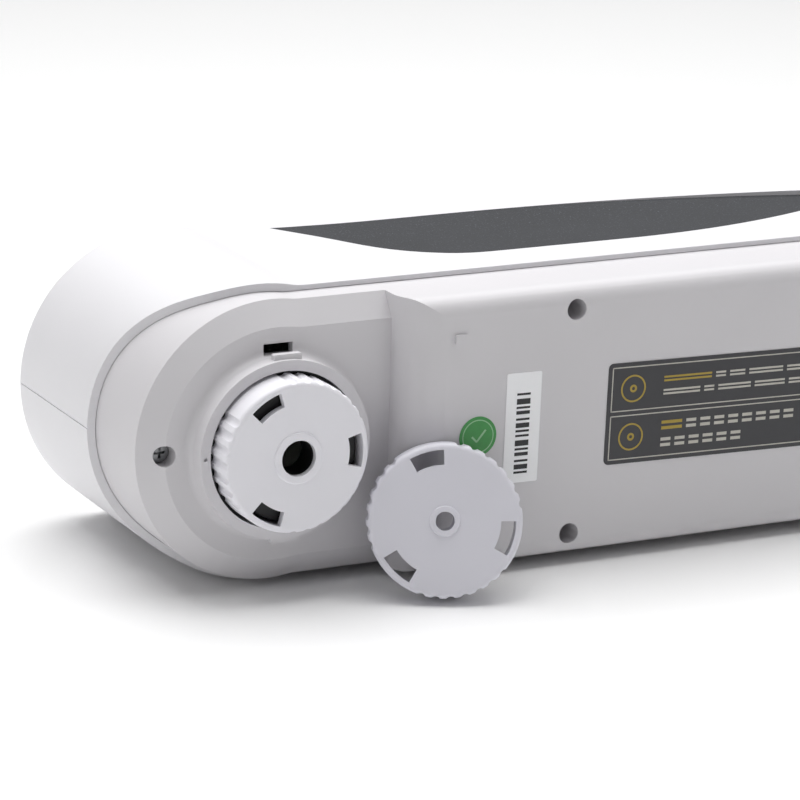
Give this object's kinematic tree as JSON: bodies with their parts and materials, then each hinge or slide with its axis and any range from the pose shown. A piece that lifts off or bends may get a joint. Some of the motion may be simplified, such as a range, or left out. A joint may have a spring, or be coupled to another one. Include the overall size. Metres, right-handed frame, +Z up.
{
  "type": "handheld colorimeter",
  "caption": "Handheld colour meter on its side: round measuring head with a notched aperture cap on a collar, straight handle with rubber grips, display and keys, and a spare aperture cap.",
  "frame": {"origin": "on the axis of the measuring aperture, level with the front face of the collar round the port", "axes": "+X along the body from the round head to the tail, -Y straight out of the measuring port, +Z up while the meter lies on its side"},
  "size_m": [0.2065, 0.0967, 0.0676],
  "materials": {
    "white_housing": "satin white ABS",
    "grey_housing": "fine satin light grey ABS",
    "grip_rubber": "dark slate thermoplastic rubber with a fine grain",
    "cap_plastic": "smooth white ABS",
    "black_plastic": "matt black plastic",
    "white_coating": "matt white coating",
    "steel": "plated steel",
    "circuit_board": "green solder mask",
    "battery_wrap": "blue shrink wrap",
    "window": "clear hard-coated acrylic",
    "key_plastic": "satin dark grey plastic",
    "silicone": "grey silicone rubber",
    "black_label": "printed black polyester label",
    "white_label": "printed white paper label",
    "green_label": "printed green foil dot"
  },
  "bodies": {
    "meter": {"base_cover": "grey_housing", "battery_pack": "battery_wrap", "board_screws": "steel", "buzzer": "black_plastic", "case_screws": "steel", "colour_sensor": "black_plastic", "display_bezel": "black_plastic", "display_module": "steel", "display_window": "window", "inspection_dot": "green_label", "key_board": "circuit_board", "key_mat": "silicone", "led_board": "circuit_board", "left_grip": "grip_rubber", "left_shell": "white_housing", "main_board": "circuit_board", "port_barrel": "black_plastic", "power_socket": "black_plastic", "power_switch": "black_plastic", "rating_label": "black_label", "right_grip": "grip_rubber", "right_shell": "white_housing", "serial_label": "white_label", "sphere_front_half": "white_coating", "sphere_rear_half": "white_coating", "sphere_screws": "steel", "tail_board": "circuit_board", "tail_panel": "black_plastic", "usb_socket": "steel"},
    "enter_key": {"enter_key": "key_plastic"},
    "up_key": {"up_key": "key_plastic"},
    "down_key": {"down_key": "key_plastic"},
    "menu_key": {"menu_key": "key_plastic"},
    "back_key": {"back_key": "key_plastic"},
    "test_key": {"test_key": "key_plastic"},
    "bayonet_ring": {"bayonet_ring": "black_plastic"},
    "aperture_cap_8mm": {"aperture_cap_8mm": "cap_plastic"},
    "aperture_cap_4mm": {"aperture_cap_4mm": "cap_plastic"},
    "power_slider": {"power_slider": "key_plastic"}
  },
  "joints": [
    {"name": "cap_twist", "type": "hinge", "parent": "meter", "child": "bayonet_ring", "pos_m": [0, 0, 0], "axis": [0, -1, 0], "range_deg": [0, 25]},
    {"name": "cap_pull", "type": "slide", "parent": "bayonet_ring", "child": "aperture_cap_8mm", "axis": [0, -1, 0], "range_m": [0, 0.012]},
    {"name": "spare_cap_slide", "type": "slide", "parent": "meter", "child": "aperture_cap_4mm", "axis": [0, -1, 0], "range_m": [0, 0.05]},
    {"name": "power_switch_slide", "type": "slide", "parent": "meter", "child": "power_slider", "axis": [0, 0, 1], "range_m": [0, 0.003]},
    {"name": "enter_key_press", "type": "slide", "parent": "meter", "child": "enter_key", "axis": [0, -1, 0], "range_m": [0, 0.0008], "stiffness_N_per_m": 900},
    {"name": "up_key_press", "type": "slide", "parent": "meter", "child": "up_key", "axis": [0, -1, 0], "range_m": [0, 0.0008], "stiffness_N_per_m": 900},
    {"name": "down_key_press", "type": "slide", "parent": "meter", "child": "down_key", "axis": [0, -1, 0], "range_m": [0, 0.0008], "stiffness_N_per_m": 900},
    {"name": "menu_key_press", "type": "slide", "parent": "meter", "child": "menu_key", "axis": [0, -1, 0], "range_m": [0, 0.0008], "stiffness_N_per_m": 900},
    {"name": "back_key_press", "type": "slide", "parent": "meter", "child": "back_key", "axis": [0, -1, 0], "range_m": [0, 0.0008], "stiffness_N_per_m": 900},
    {"name": "test_key_press", "type": "slide", "parent": "meter", "child": "test_key", "axis": [0, -1, 0], "range_m": [0, 0.0008], "stiffness_N_per_m": 900}
  ]
}
